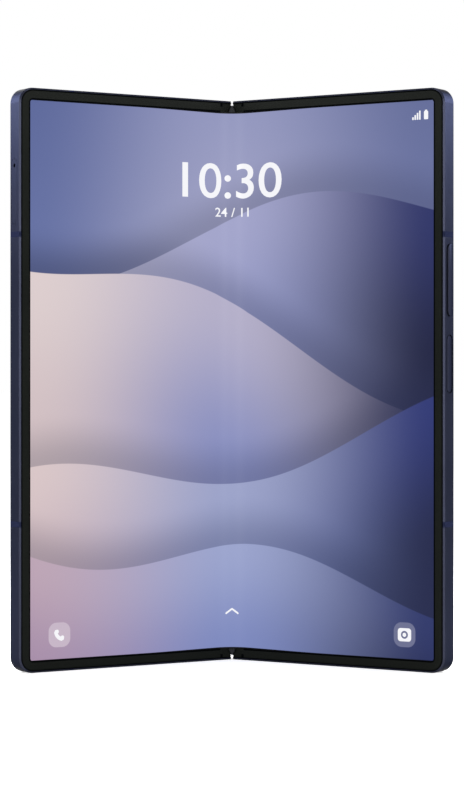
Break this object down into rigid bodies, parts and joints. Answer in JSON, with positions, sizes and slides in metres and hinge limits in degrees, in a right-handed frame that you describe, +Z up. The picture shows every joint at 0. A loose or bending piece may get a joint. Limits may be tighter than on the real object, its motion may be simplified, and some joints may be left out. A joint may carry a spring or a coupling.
{
  "type": "foldable smartphone",
  "caption": "Book-style foldable phone standing half open, with two halves that fold on a geared spine, an inner folding screen, a cover screen, keys, a card tray and a camera island.",
  "frame": {"origin": "on the surface that the phone stands on, under the middle of its box, with the fold at the back", "axes": "+Z up along the fold; +X to the viewer's right; +Y away from the viewer, so the two halves open towards -Y"},
  "size_m": [0.1166, 0.04, 0.1535],
  "materials": {
    "frame": "anodised navy, satin",
    "spine": "anodised navy, satin",
    "key": "anodised navy, satin",
    "band": "moulded, matt",
    "bezel": "satin black",
    "cap": "moulded, matt",
    "screen_left": "polymer film over the lit panel",
    "screen_right": "polymer film over the lit panel",
    "screen_bend": "polymer film over the lit panel",
    "plate": "rolled strip",
    "hinge_steel": "ground",
    "gear": "hobbed",
    "screw": "nickel plated",
    "spring": "spring wire",
    "flex": "polyimide ribbon",
    "battery": "laminated pouch",
    "board": "solder mask",
    "can": "tin plated",
    "cover_glass": "polished",
    "cover_panel": "black panel",
    "back_glass": "satin etched",
    "camera_black": "moulded",
    "ring": "turned, satin",
    "lens": "coated",
    "flash": "fresnel moulded",
    "copper": "enamelled copper",
    "speaker": "moulded",
    "motor": "drawn can",
    "magnet": "nickel plated",
    "port": "drawn shell",
    "tongue": "moulded"
  },
  "bodies": {
    "spine": {"spine_cover": "spine", "hinge_housings": "hinge_steel", "hinge_screws": "screw", "detent_springs": "spring", "fold_caps": "cap", "screen_bend": "screen_bend", "bend_plate": "plate", "hinge_flex": "flex"},
    "left_half": {"left_frame": "frame", "left_bezel": "bezel", "left_screen": "screen_left", "left_screen_plate": "plate", "left_wing_plate": "plate", "left_rotors": "hinge_steel", "left_screws": "screw", "left_antenna_bands": "band", "left_battery": "battery", "left_board": "board", "cover_glass": "cover_glass", "cover_screen": "cover_panel", "cover_camera": "camera_black", "left_speaker": "speaker", "vibration_motor": "motor", "left_magnets": "magnet", "sim_socket": "can"},
    "right_half": {"right_frame": "frame", "right_bezel": "bezel", "right_screen": "screen_right", "right_screen_plate": "plate", "right_wing_plate": "plate", "right_rotors": "hinge_steel", "right_screws": "screw", "right_antenna_bands": "band", "right_battery": "battery", "main_board": "board", "shield_cans": "can", "charge_board": "board", "inner_camera": "camera_black", "back_glass": "back_glass", "camera_island": "ring", "camera_rings": "ring", "camera_lenses": "lens", "camera_modules": "camera_black", "flash_lens": "flash", "charging_coil": "copper", "right_speaker": "speaker", "right_magnets": "magnet", "usb_shell": "port", "usb_tongue": "tongue", "microphones": "port", "key_switches": "flex"},
    "left_arm": {"left_sync_arms": "hinge_steel"},
    "right_arm": {"right_sync_arms": "hinge_steel"},
    "left_idler": {"left_idler_gears": "gear"},
    "right_idler": {"right_idler_gears": "gear"},
    "volume_key": {"volume_key": "key"},
    "side_key": {"side_key": "key"},
    "sim_tray": {"sim_tray": "key"}
  },
  "joints": [
    {"name": "left_fold", "type": "hinge", "parent": "spine", "child": "left_half", "pos_m": [-0.0018, 0.01559, 0], "axis": [0, 0, 1], "range_deg": [-32.5, 57.5], "deforming": ["screen_bend", "bend_plate", "hinge_flex"]},
    {"name": "right_fold", "type": "hinge", "parent": "spine", "child": "right_half", "pos_m": [0.0018, 0.01559, 0], "axis": [0, 0, 1], "range_deg": [-57.5, 32.5]},
    {"name": "left_arm_swing", "type": "hinge", "parent": "spine", "child": "left_arm", "pos_m": [-0.00232, 0.01664, 0], "axis": [0, 0, 1], "range_deg": [-32.5, 57.5]},
    {"name": "right_arm_swing", "type": "hinge", "parent": "spine", "child": "right_arm", "pos_m": [0.00232, 0.01664, 0], "axis": [0, 0, 1], "range_deg": [-57.5, 32.5]},
    {"name": "left_idler_spin", "type": "hinge", "parent": "spine", "child": "left_idler", "pos_m": [-0.00085, 0.01749, 0], "axis": [0, 0, 1], "range_deg": [-57.5, 32.5]},
    {"name": "right_idler_spin", "type": "hinge", "parent": "spine", "child": "right_idler", "pos_m": [0.00085, 0.01749, 0], "axis": [0, 0, 1], "range_deg": [-32.5, 57.5]},
    {"name": "volume_rock", "type": "hinge", "parent": "right_half", "child": "volume_key", "pos_m": [0.05557, -0.0167, 0.10305], "axis": [0.5373, 0.8434, 0], "range_deg": [-1, 1], "stiffness_Nm_per_rad": 0.3},
    {"name": "side_press", "type": "slide", "parent": "right_half", "child": "side_key", "axis": [-0.8434, 0.5373, 0], "range_m": [0, 0.0002], "stiffness_N_per_m": 4000, "springref_m": -0.0001},
    {"name": "tray_slide", "type": "slide", "parent": "left_half", "child": "sim_tray", "axis": [-0.8434, -0.5373, 0], "range_m": [0, 0.013]}
  ],
  "couplings": [
    {"joint": "right_fold", "follows": "left_fold", "ratio": -1},
    {"joint": "left_arm_swing", "follows": "left_fold", "ratio": 1},
    {"joint": "right_arm_swing", "follows": "left_fold", "ratio": -1},
    {"joint": "left_idler_spin", "follows": "left_fold", "ratio": -1},
    {"joint": "right_idler_spin", "follows": "left_fold", "ratio": 1}
  ]
}
